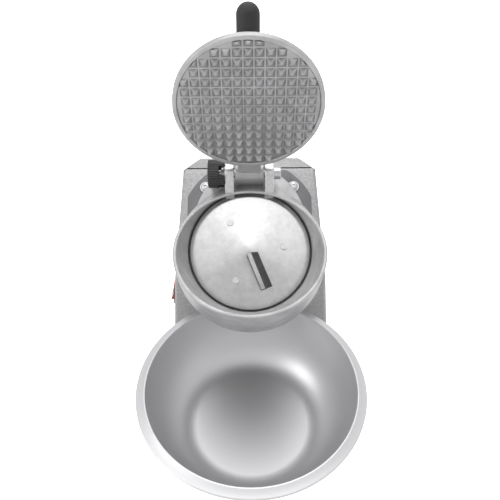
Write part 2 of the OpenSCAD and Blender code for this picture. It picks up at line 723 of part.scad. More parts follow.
// --- switch and cord gland
module switch_bezel() color("black") at_switch() difference() {
    union() {
        translate([-switch_h / 2, -switch_w / 2, 0]) cube([switch_h, switch_w, bezel_t]);
        translate([-switch_h / 2 + 2.3, -switch_w / 2 + 2.3, -20])
            cube([switch_h - 4.6, switch_w - 4.6, 20 + eps]);
    }
    translate([0, 0, 2]) cube([rocker_h + 0.8, rocker_w + 0.8, 12], center = true);
}

module switch_rocker() color("red") at_switch() rotate([0, rocker_throw, 0])
    translate([0, rocker_w / 2, 0]) rotate([90, 0, 0]) linear_extrude(rocker_w)
        polygon([[-rocker_h / 2 + 0.6, 1.2], [-rocker_h / 2 + 0.8, 4.6], [0, 3.2],
            [rocker_h / 2 - 0.8, 4.6], [rocker_h / 2 - 0.6, 1.2], [3, -2.4], [-3, -2.4]]);

module cord_gland() color("black") at_rear() translate([0, 0, -gland_drop]) rotate([-90, 0, 0])
    difference() {
        union() {
            translate([0, 0, cover_t]) cylinder(r = gland_r + 3, h = 3);
            translate([0, 0, -7]) cylinder(r = gland_r, h = 7 + cover_t + eps);
            translate([0, 0, cover_t + 3 - eps]) cylinder(r1 = gland_r, r2 = gland_tip_r, h = gland_out - 3);
        }
        translate([0, 0, -8]) cylinder(r = cord_r, h = 30);
    }

module gland_nut() color("black") at_rear() translate([0, 0, -gland_drop]) rotate([-90, 0, 0])
    translate([0, 0, -6]) difference() {
        cylinder(r = gland_r + 3.5, h = 4, $fn = 6);
        translate([0, 0, -1]) cylinder(r = gland_r, h = 6);
    }

// --- bowl: a spun shell with a sloping rim and a rolled edge
bowl_wall_top = bowl_r - bowl_rim_w;
bowl_steps = 12;
bowl_edge_z = bowl_h - bowl_rim_drop;
// Half the bowl's outside (skin = 0) or inside (skin = bowl_t), as an arc from base to rim
function bowl_curve(skin) = [for (i = [0 : bowl_steps]) let(a = 90 * i / bowl_steps)
    [bowl_base_r + (bowl_wall_top - bowl_base_r - skin) * sin(a),
     skin + (bowl_h - bowl_t - skin) * (1 - cos(a))]];
function flip(list) = [for (i = [len(list) - 1 : -1 : 0]) list[i]];
module bowl() color("gainsboro") at_machine() translate([0, bowl_y, 0]) {
    rotate_extrude() polygon(concat([[0, 0]], bowl_curve(0),
        [[bowl_r - bowl_bead, bowl_edge_z - bowl_t], [bowl_r - bowl_bead, bowl_edge_z],
         [bowl_wall_top, bowl_h], [bowl_wall_top - bowl_t, bowl_h]],
        flip(bowl_curve(bowl_t)), [[0, bowl_t]]));
    rotate_extrude() translate([bowl_r - bowl_bead, bowl_edge_z - bowl_t / 2]) circle(r = bowl_bead, $fn = 32);
}

housing();
rear_cover();
rear_cover_screws();
base_plate();
foot_front_left();
foot_front_right();
foot_rear_left();
foot_rear_right();
foot_screws();
mounting_plate();
plate_bolts();
plate_washers();
plate_nuts();
hopper();
knife_wall();
neck_screws();
drum_bearing();
shaft_seal();
blade_left();
blade_right();
blade_screws();
motor_shaft();
cutter_disc();
disc_hub();
ice_pusher();
disc_screws();
lid();
grip_plate();
handle_rod();
handle_grip();
lid_bushes();
hinge_bolt();
hinge_knob();
hinge_spring();
hinge_washers();
motor_posts();
post_screws();
motor_front_bell();
motor_stator();
motor_rear_bell();
motor_tie_bolts();
front_bearing();
rear_bearing();
rotor_core();
cooling_fan();
capacitor();
capacitor_strap();
switch_bezel();
switch_rocker();
cord_gland();
gland_nut();
terminal_block();
bowl();
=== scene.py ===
"""A tabletop ice shaver.

A tapered painted body carries a cast hopper with a hinged, studded lid, and a bowl stands in front.
"""

import json
import math

import bpy
from mathutils import Matrix, Vector


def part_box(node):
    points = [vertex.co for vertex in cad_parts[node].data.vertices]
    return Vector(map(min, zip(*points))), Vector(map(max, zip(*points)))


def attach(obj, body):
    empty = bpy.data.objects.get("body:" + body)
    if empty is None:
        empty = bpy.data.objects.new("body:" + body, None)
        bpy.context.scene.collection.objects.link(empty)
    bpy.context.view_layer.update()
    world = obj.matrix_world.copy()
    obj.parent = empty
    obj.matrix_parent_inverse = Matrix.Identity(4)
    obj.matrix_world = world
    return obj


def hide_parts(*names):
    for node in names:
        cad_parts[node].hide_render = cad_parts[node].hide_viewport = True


bl_info = {
    "name": "Ice shaver",
    "version": (1, 0, 0),
    "blender": (4, 5, 0),
    "location": "View3D > Sidebar > Ice shaver",
    "description": "Builds the looks of a tabletop ice shaver round its frame",
    "category": "Add Mesh",
}

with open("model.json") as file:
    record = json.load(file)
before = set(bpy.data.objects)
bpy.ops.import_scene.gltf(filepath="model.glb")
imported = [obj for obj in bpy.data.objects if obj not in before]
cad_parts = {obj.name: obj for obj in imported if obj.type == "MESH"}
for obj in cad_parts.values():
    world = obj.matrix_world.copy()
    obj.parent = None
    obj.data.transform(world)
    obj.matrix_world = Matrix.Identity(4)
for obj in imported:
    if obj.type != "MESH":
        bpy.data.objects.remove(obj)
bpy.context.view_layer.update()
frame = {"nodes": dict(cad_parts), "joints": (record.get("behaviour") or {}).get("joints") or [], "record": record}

MM = 0.001
SMOOTH = 96  # sides of a large round piece
JOINTS = {joint["name"]: joint for joint in frame["joints"]}
AXIS = Vector(JOINTS["rotor_spin"]["axis"])
DRUM_FOOT = Vector(JOINTS["rotor_spin"]["pos_m"])
HINGE_AT = Vector(JOINTS["lid_hinge"]["pos_m"])
DECK_TILT = math.atan2(-AXIS.y, AXIS.z)

# Where the camera stands, from the middle of the mouth, and how far it looks down and rolls
CAMERA_BACK, CAMERA_UP = 0.4116, 0.375  # metres
CAMERA_DOWN, CAMERA_ROLL = 42.5, 0.5  # degrees
CAMERA_LENS, CAMERA_SENSOR = 39.31, 36.0  # millimetres

# Measures that several pieces share, in millimetres
NECK_FRONT = 23.0  # from the drum's axis forward to the neck's front
UNDERSIDE, DRUM_FLOOR = 30.0, 36.0  # heights of the casting's underside and floor over the deck
EAR_OUT, EAR_HALF = 26.75, 5.0  # from the middle to an ear's outer face, and half its thickness
HINGE_BORE = 4.05  # radius of the ears' bore
HINGE_OFF = 93.9  # from the hinge's axis to the lid's middle
LID_SINK = 4.4  # from the hinge's axis down to the lid's top


def size_mm(name, default, description):
    """A size that a user may change, in millimetres."""
    return bpy.props.FloatProperty(name=name, default=default, min=0.0, description=description)


def linear(code):
    """An sRGB hex colour such as "b4b4b5", as linear red, green and blue."""
    parts = [int(code[i : i + 2], 16) / 255 for i in (0, 2, 4)]
    return tuple(c / 12.92 if c <= 0.04045 else ((c + 0.055) / 1.055) ** 2.4 for c in parts)


def colour(name, code, description):
    """A colour that a user may change."""
    return bpy.props.FloatVectorProperty(
        name=name, default=linear(code), subtype="COLOR", min=0.0, max=1.0, description=description
    )


class ShaverSizes(bpy.types.PropertyGroup):
    """Sizes of the pieces, in millimetres and degrees, as the machine is made."""

    body_top: size_mm("Body top width", 160.0, "Width of the body across its top edge")
    body_front: size_mm("Front wall height", 110.0, "Height of the front wall over the table")
    deck_length: size_mm("Deck length", 133.0, "Length of the sloping deck")
    top_depth: size_mm("Top depth", 27.5, "Depth of the level strip behind the deck")
    body_round: size_mm("Body edge radius", 4.0, "Radius of the body's folded edges")
    sheet: size_mm("Sheet", 1.5, "Thickness of the body's steel sheet")
    shroud: size_mm("Shroud radius", 82.0, "Outer radius of the casting round the drum")
    rim: size_mm("Rim radius", 79.0, "Outer radius of the hopper's mouth")
    rim_width: size_mm("Rim width", 4.2, "Width of the hopper's rim")
    drum: size_mm("Drum radius", 67.4, "Radius of the bore that the disc spins in")
    neck: size_mm("Neck radius", 61.6, "Radius of the hopper's foot on the deck")
    disc: size_mm("Disc radius", 65.0, "Radius of the spinning disc")
    disc_rise: size_mm("Disc rise", 5.0, "Rise of the disc from edge to middle")
    lid: size_mm("Lid radius", 73.5, "Radius of the lid")
    stud_pitch: size_mm("Stud pitch", 10.0, "Spacing of the grip studs")
    stud_height: size_mm("Stud height", 4.5, "Height of a grip stud")
    bowl: size_mm("Bowl radius", 119.5, "Radius of the bowl over its rolled rim")
    bowl_rim: size_mm("Bowl rim width", 9.3, "Width of the bowl's sloping rim")
    bowl_height: size_mm("Bowl height", 79.0, "Height of the bowl")
    knob: size_mm("Knob radius", 15.5, "Radius of the hinge's knob")
    grip: size_mm("Grip radius", 11.0, "Radius of the handle's rubber grip")
    lid_open: bpy.props.FloatProperty(
        name="Lid opening", default=math.radians(96), subtype="ANGLE",
        description="Angle from the closed lid to the resting, open lid",
    )
    mouth_lean: bpy.props.FloatProperty(
        name="Mouth lean", default=math.radians(22.7), subtype="ANGLE",
        description="Angle between the mouth's plane and the disc's plane",
    )


class ShaverColours(bpy.types.PropertyGroup):
    """Colours of the finishes."""

    body: colour("Body enamel", "a2a2a3", "Hammered enamel of the body")
    plate: colour("Plate enamel", "6c6c6e", "Satin enamel of the plate under the hopper")
    casting: colour("Casting lacquer", "b2b2b3", "Silver lacquer of the castings")
    steel: colour("Stainless steel", "c4c4c4", "Turned and spun stainless steel")
    zinc: colour("Zinc plating", "c9c9cb", "Screws, bolts and washers")
    rubber: colour("Rubber", "2b2b2c", "Grip and feet")
    nylon: colour("Nylon", "222223", "Knob, bezel and cord gland")
    rocker: colour("Rocker", "c0271a", "The lit rocker of the switch")
    floor: colour("Floor", "ffffff", "Floor and backdrop")


# --- frames: the drum's axis stands on the sloping deck, and the mouth and the hinge follow it
DECK = Matrix.Translation(DRUM_FOOT) @ Matrix.Rotation(DECK_TILT, 4, "X")
MOUTH_OFFSET = Vector((0, -6 * MM, 82 * MM))  # from the drum's foot to the middle of the mouth


def sizes():
    """The sizes in use."""
    return bpy.context.scene.shaver_sizes


def colours():
    """The colours in use."""
    return bpy.context.scene.shaver_colours


def neck_middle():
    """How far the neck's axis stands up the deck from the drum's, in millimetres."""
    return sizes().neck - NECK_FRONT


def mouth_frame():
    """The hopper's mouth, in the drum's frame."""
    return Matrix.Translation(MOUTH_OFFSET) @ Matrix.Rotation(-sizes().mouth_lean, 4, "X")


def hinge_frame():
    """The hinge's axis, with the closed lid towards -Y."""
    return Matrix.Translation(HINGE_AT) @ Matrix.Rotation(DECK_TILT - sizes().mouth_lean, 4, "X")


def lid_frame():
    """The hinge's axis, turned as far as the resting lid."""
    return hinge_frame() @ Matrix.Rotation(-sizes().lid_open, 4, "X")


def bowl_frame():
    """The bowl's axis, at the table."""
    low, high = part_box("bowl")
    return Matrix.Translation(((low.x + high.x) / 2, (low.y + high.y) / 2, 0))


def handle_frame():
    """The handle's rod, leaning out of the lid's arm."""
    foot = Matrix.Translation(Vector((0, -HINGE_OFF - 14, -1.4)) * MM)
    return lid_frame() @ foot @ Matrix.Rotation(math.radians(62), 4, "X")


# --- modelling
def clear_selection():
    """Leaves edit mode and selects nothing."""
    if bpy.context.object and bpy.context.object.mode != "OBJECT":
        bpy.ops.object.mode_set(mode="OBJECT")
    bpy.ops.object.select_all(action="DESELECT")


def only(piece):
    """Makes piece the only selected and active object."""
    clear_selection()
    piece.select_set(True)
    bpy.context.view_layer.objects.active = piece
    return piece


def named(name):
    """Names the piece that was just made."""
    piece = bpy.context.object
    piece.name = piece.data.name = name
    return piece


def pick(piece, test, kind="FACE"):
    """Enters edit mode and selects what has a middle and a direction that pass the test."""
    only(piece)
    bpy.ops.object.mode_set(mode="EDIT")
    bpy.ops.mesh.select_mode(type=kind)
    bpy.ops.mesh.select_all(action="DESELECT")
    bpy.ops.object.mode_set(mode="OBJECT")
    mesh = piece.data
    if kind == "FACE":
        for face in mesh.polygons:
            face.select = bool(test(face.center / MM, face.normal))
    elif kind == "VERT":
        for point in mesh.vertices:
            point.select = bool(test(point.co / MM, point.normal))
    else:
        for edge in mesh.edges:
            ends = [mesh.vertices[i].co / MM for i in edge.vertices]
            edge.select = bool(test((ends[0] + ends[1]) / 2, ends[1] - ends[0]))
    bpy.ops.object.mode_set(mode="EDIT")


def edit_all(piece):
    """Enters edit mode with the whole piece selected."""
    only(piece)
    bpy.ops.object.mode_set(mode="EDIT")
    bpy.ops.mesh.select_all(action="SELECT")


def leave_edit():
    bpy.ops.object.mode_set(mode="OBJECT")


def turned(name, profile, steps=SMOOTH, axis="Z"):
    """A piece turned on a lathe: profile is a line of (radius, height) in millimetres."""
    clear_selection()
    radius, height = profile[0]
    bpy.ops.mesh.primitive_plane_add(size=MM, location=(radius * MM, 0, height * MM))
    piece = named(name)
    bpy.ops.object.transform_apply()
    bpy.ops.object.mode_set(mode="EDIT")
    bpy.ops.mesh.select_mode(type="VERT")
    bpy.ops.mesh.select_all(action="SELECT")
    bpy.ops.mesh.merge(type="CENTER")
    for (r0, z0), (r1, z1) in zip(profile, profile[1:]):
        bpy.ops.mesh.extrude_vertices_move(
            TRANSFORM_OT_translate={"value": ((r1 - r0) * MM, 0, (z1 - z0) * MM)}
        )
    bpy.ops.mesh.select_all(action="SELECT")
    bpy.ops.mesh.spin(steps=steps, angle=2 * math.pi, center=(0, 0, 0), axis=(0, 0, 1))
    bpy.ops.mesh.select_all(action="SELECT")
    bpy.ops.mesh.remove_doubles(threshold=0.002 * MM)
    bpy.ops.mesh.normals_make_consistent(inside=False)
    leave_edit()
    if axis == "X":
        piece.data.transform(Matrix.Rotation(math.pi / 2, 4, "Y"))
    return piece


def block(name, low, high):
    """A block between two corners, in millimetres, ready to be shaped."""
    clear_selection()
    middle = [(a + b) / 2 * MM for a, b in zip(low, high)]
    bpy.ops.mesh.primitive_cube_add(size=1, location=middle)
    piece = named(name)
    piece.scale = [(b - a) * MM for a, b in zip(low, high)]
    bpy.ops.object.transform_apply()
    return piece


def rod(name, radius, low, high, at=(0, 0), axis="Z", sides=48):
    """A rod along an axis, in millimetres, ready to be shaped."""
    clear_selection()
    bpy.ops.mesh.primitive_cylinder_add(
        vertices=sides, radius=radius * MM, depth=(high - low) * MM,
        location=(at[0] * MM, at[1] * MM, (low + high) / 2 * MM),
    )
    piece = named(name)
    bpy.ops.object.transform_apply()
    if axis == "X":
        piece.data.transform(Matrix.Rotation(math.pi / 2, 4, "Y"))
    return piece


def place(piece, matrix):
    """Moves a piece's mesh, so that the object itself stays at the origin."""
    piece.data.transform(matrix)
    piece.data.update()
    return piece


def modify(piece, kind, **settings):
    """Adds a modifier with its settings and applies it."""
    only(piece)
    modifier = piece.modifiers.new(kind.title(), kind)
    for key, value in settings.items():
        setattr(modifier, key, value)
    bpy.ops.object.modifier_apply(modifier=modifier.name)
    return piece


def soften(piece, width, segments=2, angle=30):
    """Rounds the sharp edges of a piece and smooths the rest."""
    modify(piece, "BEVEL", width=width * MM, segments=segments, limit_method="ANGLE",
           angle_limit=math.radians(angle), harden_normals=False)
    return smooth(piece)


def smooth(piece, angle=35):
    """Shades a piece smooth, but for edges sharper than the angle."""
    only(piece)
    bpy.ops.object.shade_smooth_by_angle(angle=math.radians(angle), keep_sharp_edges=False)
    return piece


def cut(piece, *tools):
    """Cuts the tools out of the piece, and removes them."""
    for tool in tools:
        modify(piece, "BOOLEAN", operation="DIFFERENCE", object=tool, solver="EXACT")
        bpy.data.objects.remove(tool)
    return piece


def weld(piece, *others):
    """Joins other pieces to the first one."""
    only(piece)
    for other in others:
        other.select_set(True)
    bpy.ops.object.join()
    return piece


def finish_piece(piece, body, slot, material, *nodes):
    """Gives a finished piece its material and body, and hides the nodes that it stands for; the slot is not used.
    """
    piece.data.materials.clear()
    piece.data.materials.append(material)
    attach(piece, body)
    if nodes:
        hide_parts(*nodes)
    return piece


# --- materials
def add_node(tree, kind, inputs=None, **settings):
    """Adds one shader node with its settings; an input is a value or another node's output."""
    made = tree.nodes.new(kind)
    for key, value in settings.items():
        setattr(made, key, value)
    for socket, value in (inputs or {}).items():
        if isinstance(value, bpy.types.NodeSocket):
            tree.links.new(value, made.inputs[socket])
        else:
            made.inputs[socket].default_value = value
    return made


def material(name, base, build=None, **sockets):
    """A material with its shader's own values; build adds what varies over the surface."""
    made = bpy.data.materials.get(name)
    if made:
        return made
    made = bpy.data.materials.new(name)
    made.use_nodes = True
    tree = made.node_tree
    shader = tree.nodes["Principled BSDF"]
    shader.inputs["Base Color"].default_value = (*base, 1)
    for socket, value in sockets.items():
        shader.inputs[socket.replace("_", " ")].default_value = value
    if build:
        at = add_node(tree, "ShaderNodeTexCoord").outputs["Object"]
        for socket, output in build(tree, at, base).items():
            tree.links.new(output, shader.inputs[socket])
    return made


def maths(tree, operation, *values):
    """One sum on values or outputs."""
    return add_node(tree, "ShaderNodeMath", dict(enumerate(values)), operation=operation).outputs[0]


def vector_maths(tree, operation, *values):
    """One sum on vectors."""
    made = add_node(tree, "ShaderNodeVectorMath", dict(enumerate(values)), operation=operation)
    return made.outputs["Value" if operation == "LENGTH" else "Vector"]


def grain(tree, at, size, detail=2.0, rough=0.5):
    """Noise whose bumps are about size millimetres across."""
    return add_node(tree, "ShaderNodeTexNoise", {
        "Vector": at, "Scale": 1 / (size * MM), "Detail": detail, "Roughness": rough,
    }).outputs["Fac"]


def span(tree, value, low, high, start=0.3, end=0.7):
    """Maps a noise value to a range."""
    return add_node(tree, "ShaderNodeMapRange", {
        "Value": value, "From Min": start, "From Max": end, "To Min": low, "To Max": high,
    }).outputs["Result"]


def tint(tree, base, factor, low, high):
    """The base colour times low, where the factor is 0, to times high, where it is 1."""
    shades = [tuple(min(1.0, c * k) for c in base) + (1,) for k in (low, high)]
    inputs = {0: factor, 6: shades[0], 7: shades[1]}
    return add_node(tree, "ShaderNodeMix", inputs, data_type="RGBA").outputs[2]


def bump(tree, height, depth, strength=1.0):
    """Relief whose full height is depth millimetres."""
    return add_node(tree, "ShaderNodeBump", {
        "Height": height, "Distance": depth * MM, "Strength": strength,
    }).outputs["Normal"]


def local(tree, at, matrix):
    """Coordinates about a piece's own axis."""
    return add_node(tree, "ShaderNodeMapping", {
        "Vector": at, "Location": tuple(matrix.translation), "Rotation": tuple(matrix.to_euler()),
    }, vector_type="TEXTURE").outputs["Vector"]


def radius_from(tree, at):
    """Distance from the local Z axis."""
    return vector_maths(tree, "LENGTH", vector_maths(tree, "MULTIPLY", at, (1, 1, 0)))


def lathe_lines(tree, at, pitch):
    """Fine rings about the local Z axis, pitch millimetres apart."""
    rings = add_node(tree, "ShaderNodeCombineXYZ", {"X": radius_from(tree, at)}).outputs[0]
    return grain(tree, rings, pitch, 3.0, 0.6)


def enamel_look(bump_size, depth, wear):
    """Sprayed enamel: rounded hammer dimples, with small changes of shade between them."""

    def build(tree, at, base):
        cells = add_node(tree, "ShaderNodeTexVoronoi", {
            "Vector": at, "Scale": 1 / (bump_size * MM), "Smoothness": 1.0, "Randomness": 1.0,
        }, feature="SMOOTH_F1").outputs["Distance"]
        cloud = grain(tree, at, 28, 3.0)
        fleck = grain(tree, at, 1.1, 2.0)
        shade = span(tree, maths(tree, "MULTIPLY", cells, fleck), 0, 1, 0.1, 0.45)
        return {
            "Base Color": tint(tree, base, shade, 1 - wear, 1 + wear),
            "Roughness": span(tree, cloud, 0.34, 0.5),
            "Normal": bump(tree, cells, depth),
        }

    return build


def casting_look(tree, at, base):
    """Lacquered sand casting: fine grain, soft mottling and a few shallow pits."""
    sand = grain(tree, at, 0.9, 3.0, 0.6)
    cloud = grain(tree, at, 16, 4.0, 0.6)
    pits = add_node(tree, "ShaderNodeTexVoronoi", {
        "Vector": at, "Scale": 1 / (9 * MM), "Randomness": 1.0,
    }).outputs["Distance"]
    relief = maths(tree, "MULTIPLY", sand, span(tree, pits, 0, 1, 0.0, 0.09))
    return {
        "Base Color": tint(tree, base, span(tree, cloud, 0, 1), 0.88, 1.08),
        "Roughness": span(tree, cloud, 0.5, 0.36),
        "Normal": bump(tree, relief, 0.12),
    }


def turned_look(matrix, pitch, streak, rough):
    """Turned or spun steel: rings from the tool and broad soft streaks across them."""

    def build(tree, at, base):
        own = local(tree, at, matrix)
        rings = lathe_lines(tree, own, pitch)
        cloud = grain(tree, own, 22, 4.0, 0.65)
        smear = grain(tree, own, 6, 3.0, 0.6)
        arm = vector_maths(tree, "SUBTRACT", at, tuple(matrix.translation))
        spindle = tuple(matrix.to_3x3() @ Vector((0, 0, 1)))
        along = vector_maths(tree, "CROSS_PRODUCT", arm, spindle)
        shade = span(tree, maths(tree, "ADD", cloud, smear), 0, 1, 0.7, 1.3)
        return {
            "Base Color": tint(tree, base, shade, 1 - streak, 1 + streak / 2),
            "Roughness": span(tree, rings, rough * 0.8, rough * 1.25),
            "Normal": bump(tree, rings, 0.03),
            "Tangent": vector_maths(tree, "NORMALIZE", along),
        }

    return build


def plating_look(tree, at, base):
    """Zinc plating: bright, with a faint blotchy bloom."""
    bloom = grain(tree, at, 3, 3.0)
    return {
        "Base Color": tint(tree, base, span(tree, bloom, 0, 1), 0.86, 1.05),
        "Roughness": span(tree, bloom, 0.22, 0.4),
        "Normal": bump(tree, grain(tree, at, 0.5), 0.01),
    }


def moulded_look(size, depth, low, high):
    """Moulded rubber or plastic: the spark-eroded grain of its mould."""

    def build(tree, at, base):
        tooth = grain(tree, at, size, 2.0, 0.6)
        cloud = grain(tree, at, 12, 3.0)
        return {
            "Base Color": tint(tree, base, span(tree, cloud, 0, 1), 0.8, 1.25),
            "Roughness": span(tree, cloud, low, high),
            "Normal": bump(tree, tooth, depth),
        }

    return build


def backdrop_look(tree, at, base):
    """A backdrop that is lit up for the camera only."""
    return {"Emission Strength": add_node(tree, "ShaderNodeLightPath").outputs["Is Camera Ray"]}


def hammered_enamel():
    return material("hammered_enamel", colours().body, enamel_look(2.6, 0.22, 0.16),
                    Metallic=0.35, Coat_Weight=0.15, Coat_Roughness=0.25)


def satin_enamel():
    return material("satin_enamel", colours().plate, enamel_look(1.6, 0.06, 0.08), Metallic=0.15)


def lacquered_casting():
    return material("lacquered_casting", colours().casting, casting_look, Metallic=0.55)


def shaded_bare_casting():
    """Aluminium as it came from the mould, darker than the lacquer; on the lid's barrel this darker colour is
    painted shade.
    """
    return material("shaded_bare_casting", linear("a9a9aa"), casting_look, Metallic=0.9)


def machined_aluminium():
    return material("machined_aluminium", linear("d0d0d0"), plating_look, Metallic=1.0)


def turned_stainless():
    return material("turned_stainless", colours().steel, turned_look(DECK, 0.5, 0.14, 0.3),
                    Metallic=1.0, Anisotropic=0.75)


def shade_painted_steel():
    """The same steel painted dark, as painted shade on the pusher's falling flank."""
    return material("shade_painted_steel", linear("6a6a6b"), turned_look(DECK, 0.5, 0.2, 0.4),
                    Metallic=1.0)


def spun_stainless():
    return material("spun_stainless", linear("b4b4b5"), turned_look(bowl_frame(), 0.8, 0.08, 0.28),
                    Metallic=1.0, Anisotropic=0.5)


def zinc_plated_steel():
    return material("zinc_plated_steel", colours().zinc, plating_look, Metallic=1.0)


def nitrile_rubber():
    return material("nitrile_rubber", colours().rubber, moulded_look(0.7, 0.05, 0.5, 0.68),
                    Specular_IOR_Level=0.4)


def glass_filled_nylon():
    return material("glass_filled_nylon", colours().nylon, moulded_look(0.5, 0.03, 0.35, 0.5),
                    IOR=1.53)


def red_polycarbonate():
    return material("red_polycarbonate", colours().rocker, moulded_look(0.4, 0.004, 0.1, 0.2),
                    IOR=1.58, Transmission_Weight=0.25, Coat_Weight=0.3)


def ivory_nylon():
    return material("ivory_nylon", linear("d9d5c6"), moulded_look(0.5, 0.02, 0.4, 0.55), IOR=1.53)


def sintered_bronze():
    return material("sintered_bronze", linear("c39a5b"), plating_look, Metallic=1.0)


def lamination_steel():
    """Stacked sheet steel: thin dark lines across the motor's axis, a millimetre apart."""

    def build(tree, at, base):
        own = local(tree, at, DECK)
        height = add_node(tree, "ShaderNodeSeparateXYZ", {0: own}).outputs["Z"]
        wave = maths(tree, "SINE", maths(tree, "MULTIPLY", height, 2 * math.pi / MM))
        return {
            "Base Color": tint(tree, base, span(tree, wave, 0, 1, -1, 1), 0.7, 1.1),
            "Normal": bump(tree, wave, 0.05),
        }

    return material("lamination_steel", linear("6b6d70"), build, Metallic=0.8, Roughness=0.45)


# --- pieces
class SHAVER_OT_stage(bpy.types.Operator):
    """Sets the floor, the soft lights and the camera"""

    bl_idname = "shaver.stage"
    bl_label = "Stage"

    def execute(self, context):
        clear_selection()
        bpy.ops.mesh.primitive_plane_add(size=6, location=(0, 0, 0))
        floor = named("floor")
        white = material("studio_floor", colours().floor, backdrop_look, Roughness=0.9,
                         Emission_Color=(1, 1, 1, 1))
        floor.data.materials.append(white)
        world = bpy.data.worlds.new("studio")
        world.use_nodes = True
        tree = world.node_tree
        sky = tree.nodes["Background"]
        seen = add_node(tree, "ShaderNodeLightPath").outputs["Is Camera Ray"]
        tree.links.new(span(tree, seen, 0.85, 1.0, 0, 1), sky.inputs["Strength"])
        sky.inputs["Color"].default_value = (1, 1, 1, 1)
        context.scene.world = world
        context.scene.view_settings.view_transform = "Standard"
        for name, spot, size, power in (
            ("overhead", (0, 0.2, 1.6), 1.4, 10),
            ("left", (-1.3, -0.5, 1.0), 0.8, 5),
            ("rear", (0.1, 1.3, 1.2), 0.9, 4),
        ):
            bpy.ops.object.light_add(type="AREA", location=spot)
            lamp = context.object
            lamp.name = name
            lamp.data.size = size
            lamp.data.energy = power
            aim = Vector((0, 0, 0.15)) - Vector(spot)
            lamp.rotation_euler = aim.to_track_quat("-Z", "Y").to_euler()
        bpy.ops.object.camera_add()
        camera = named("camera")
        camera.data.lens = CAMERA_LENS
        camera.data.sensor_width = CAMERA_SENSOR
        camera.data.clip_start = 0.01
        rim = DECK @ MOUTH_OFFSET
        camera.location = (rim.x, rim.y - CAMERA_BACK, rim.z + CAMERA_UP)
        down = Matrix.Rotation(math.radians(90 - CAMERA_DOWN), 3, "X")
        roll = Matrix.Rotation(math.radians(-CAMERA_ROLL), 3, "Z")
        camera.rotation_euler = (down @ roll).to_euler()
        context.scene.camera = camera
        return {"FINISHED"}


class SHAVER_OT_body(bpy.types.Operator):
    """Folds the painted body"""

    bl_idname = "shaver.body"
    bl_label = "Body"

    def execute(self, context):
        s = sizes()
        low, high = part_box("housing")
        front, base = low.y / MM, low.z / MM
        ridge = s.body_front + s.deck_length * math.sin(DECK_TILT)
        back = front + s.deck_length * math.cos(DECK_TILT) + s.top_depth
        taper = (high.x / MM - s.body_top / 2) / (ridge - base)

        def half(z):
            """Half the body's width at a height."""
            return s.body_top / 2 + taper * (ridge - z)

        def rear(z):
            """Where the rear wall stands at a height."""
            return back + taper * (ridge - z)

        corner = Vector((18, 24, 0))  # how much the rear corners are cut off
        shell = block("body_shell", (-150, front, base), (150, front + 260, ridge))
        planes = [((0, front, s.body_front), (0, -math.sin(DECK_TILT), math.cos(DECK_TILT))),
                  ((0, rear(base), base), (0, 1, taper))]
        for side in (-1, 1):
            planes.append(((side * half(base), front, base), (side, 0, taper)))
            start = Vector((side * half(base), rear(base) - corner.y, base))
            along = Vector((-side * corner.x, corner.y, 0))
            up = Vector((side * half(ridge), rear(ridge) - corner.y, ridge)) - start
            normal = along.cross(up)
            planes.append((start, normal if normal.y > 0 else -normal))
        edit_all(shell)
        for at, normal in planes:
            bpy.ops.mesh.select_all(action="SELECT")
            bpy.ops.mesh.bisect(plane_co=Vector(at) * MM, plane_no=Vector(normal).normalized(),
                                use_fill=True, clear_outer=True)
        pick(shell, lambda at, along: at.z > base + 0.5, "EDGE")
        bpy.ops.mesh.bevel(offset=s.body_round * MM, segments=5, profile=0.5, affect="EDGES")
        pick(shell, lambda at, normal: normal.z < -0.9)
        bpy.ops.mesh.delete(type="FACE")
        leave_edit()
        modify(shell, "SOLIDIFY", thickness=s.sheet * MM, offset=-1)
        hole = place(rod("hole", s.neck - 4, -8, 8, (0, neck_middle())), DECK)
        lean = math.atan(taper)
        window_at = Vector((0, rear((base + ridge) / 2), (base + ridge) / 2)) * MM
        window = block("window", (-40, -6, -54), (40, 6, 54))
        place(window, Matrix.Translation(window_at) @ Matrix.Rotation(lean, 4, "X"))
        bezel = [(a + b) / 2 for a, b in zip(*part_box("switch_bezel"))]
        slot_cut = block("slot_cut", (-12, -8.5, -14), (12, 8.5, 14))
        place(slot_cut, Matrix.Translation(bezel) @ Matrix.Rotation(lean - math.pi / 2, 4, "Y"))
        cut(shell, hole, window, slot_cut)
        finish_piece(smooth(shell, 40), "root", "grey_hammered_paint", hammered_enamel(), "housing")
        return {"FINISHED"}


class SHAVER_OT_soft_copies(bpy.types.Operator):
    """Gives the plates, feet, switch and gland the rounded edges of real parts"""

    bl_idname = "shaver.soft_copies"
    bl_label = "Plates, feet, switch and gland"

    def execute(self, context):
        feet = [(f"foot_{end}_{side}", "root", "black_rubber", 1.0, nitrile_rubber)
                for end in ("front", "rear") for side in ("left", "right")]
        for node, body, slot, width, finish in (
            ("mounting_plate", "root", "dark_grey_paint", 0.8, satin_enamel),
            ("base_plate", "root", "grey_hammered_paint", 0.5, hammered_enamel),
            ("rear_cover", "root", "grey_hammered_paint", 0.4, hammered_enamel),
            *feet,
            ("switch_bezel", "root", "black_moulded_plastic", 0.5, glass_filled_nylon),
            ("switch_rocker", "rocker", "red_plastic", 0.5, red_polycarbonate),
            ("cord_gland", "root", "black_moulded_plastic", 0.6, glass_filled_nylon),
            ("rear_cover_screws", "root", "bright_steel", 0.5, zinc_plated_steel),
        ):
            clear_selection()
            piece = frame["nodes"][node].copy()
            piece.data = piece.data.copy()
            for key in list(piece.keys()):
                del piece[key]
            piece.parent = None
            piece.matrix_world = Matrix.Identity(4)
            context.scene.collection.objects.link(piece)
            piece.name = piece.data.name = node + "_soft"
            edit_all(piece)
            bpy.ops.mesh.remove_doubles(threshold=0.01 * MM)
            bpy.ops.mesh.dissolve_limited(angle_limit=math.radians(1))
            leave_edit()
            soften(piece, width)
            finish_piece(piece, body, slot, finish(), node)
        return {"FINISHED"}


